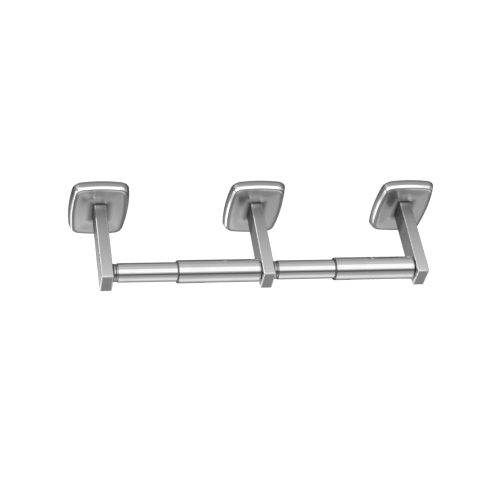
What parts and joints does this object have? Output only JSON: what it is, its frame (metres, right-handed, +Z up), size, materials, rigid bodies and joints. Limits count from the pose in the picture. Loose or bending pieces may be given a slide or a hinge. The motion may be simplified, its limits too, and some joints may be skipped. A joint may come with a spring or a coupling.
{
  "type": "double toilet roll dispenser",
  "caption": "Wall dispenser for toilet rolls side by side: flanged rectangular posts carry telescoping spring-loaded rollers, with concealed wall plates.",
  "frame": {"origin": "on the wall's plane, at the centre of the middle wall plate's back", "axes": "+X along the rollers from the thin halves to the thick ones, +Y into the wall, +Z up"},
  "size_m": [0.336, 0.086, 0.0684],
  "materials": {
    "satin_steel": "satin stainless steel, fine brushed grain, polished edges",
    "chrome": "bright polished plating",
    "zinc_steel": "zinc-plated sheet and screws",
    "dark_steel": "blackened steel",
    "spring_steel": "drawn spring wire"
  },
  "bodies": {
    "root": {"left_wall_plate": "zinc_steel", "left_anchor_plate": "zinc_steel", "left_flange": "satin_steel", "left_post": "satin_steel", "left_post_screw_upper": "zinc_steel", "left_post_screw_lower": "zinc_steel", "left_set_screw": "dark_steel", "middle_wall_plate": "zinc_steel", "middle_anchor_plate": "zinc_steel", "middle_flange": "satin_steel", "middle_post": "satin_steel", "middle_post_screw_upper": "zinc_steel", "middle_post_screw_lower": "zinc_steel", "middle_set_screw": "dark_steel", "right_wall_plate": "zinc_steel", "right_anchor_plate": "zinc_steel", "right_flange": "satin_steel", "right_post": "satin_steel", "right_post_screw_upper": "zinc_steel", "right_post_screw_lower": "zinc_steel", "right_set_screw": "dark_steel"},
    "left_roller_thick_half": {"left_roller_thick_tube": "chrome", "left_roller_thick_end_plug": "chrome", "left_roller_spring": "spring_steel"},
    "left_roller_thin_half": {"left_roller_thin_tube": "chrome", "left_roller_thin_end_plug": "chrome"},
    "right_roller_thick_half": {"right_roller_thick_tube": "chrome", "right_roller_thick_end_plug": "chrome", "right_roller_spring": "spring_steel"},
    "right_roller_thin_half": {"right_roller_thin_tube": "chrome", "right_roller_thin_end_plug": "chrome"}
  },
  "joints": [
    {"name": "left_roller_spin", "type": "hinge", "parent": "root", "child": "left_roller_thick_half", "pos_m": [-0.00525, -0.0742, 0], "axis": [1, 0, 0], "continuous": true},
    {"name": "left_roller_push", "type": "slide", "parent": "left_roller_thick_half", "child": "left_roller_thin_half", "axis": [1, 0, 0], "range_m": [0, 0.018], "stiffness_N_per_m": 300, "springref_m": -0.03, "deforming": ["left_roller_spring"]},
    {"name": "right_roller_spin", "type": "hinge", "parent": "root", "child": "right_roller_thick_half", "pos_m": [0.13605, -0.0742, 0], "axis": [1, 0, 0], "continuous": true},
    {"name": "right_roller_push", "type": "slide", "parent": "right_roller_thick_half", "child": "right_roller_thin_half", "axis": [1, 0, 0], "range_m": [0, 0.018], "stiffness_N_per_m": 300, "springref_m": -0.03, "deforming": ["right_roller_spring"]}
  ]
}
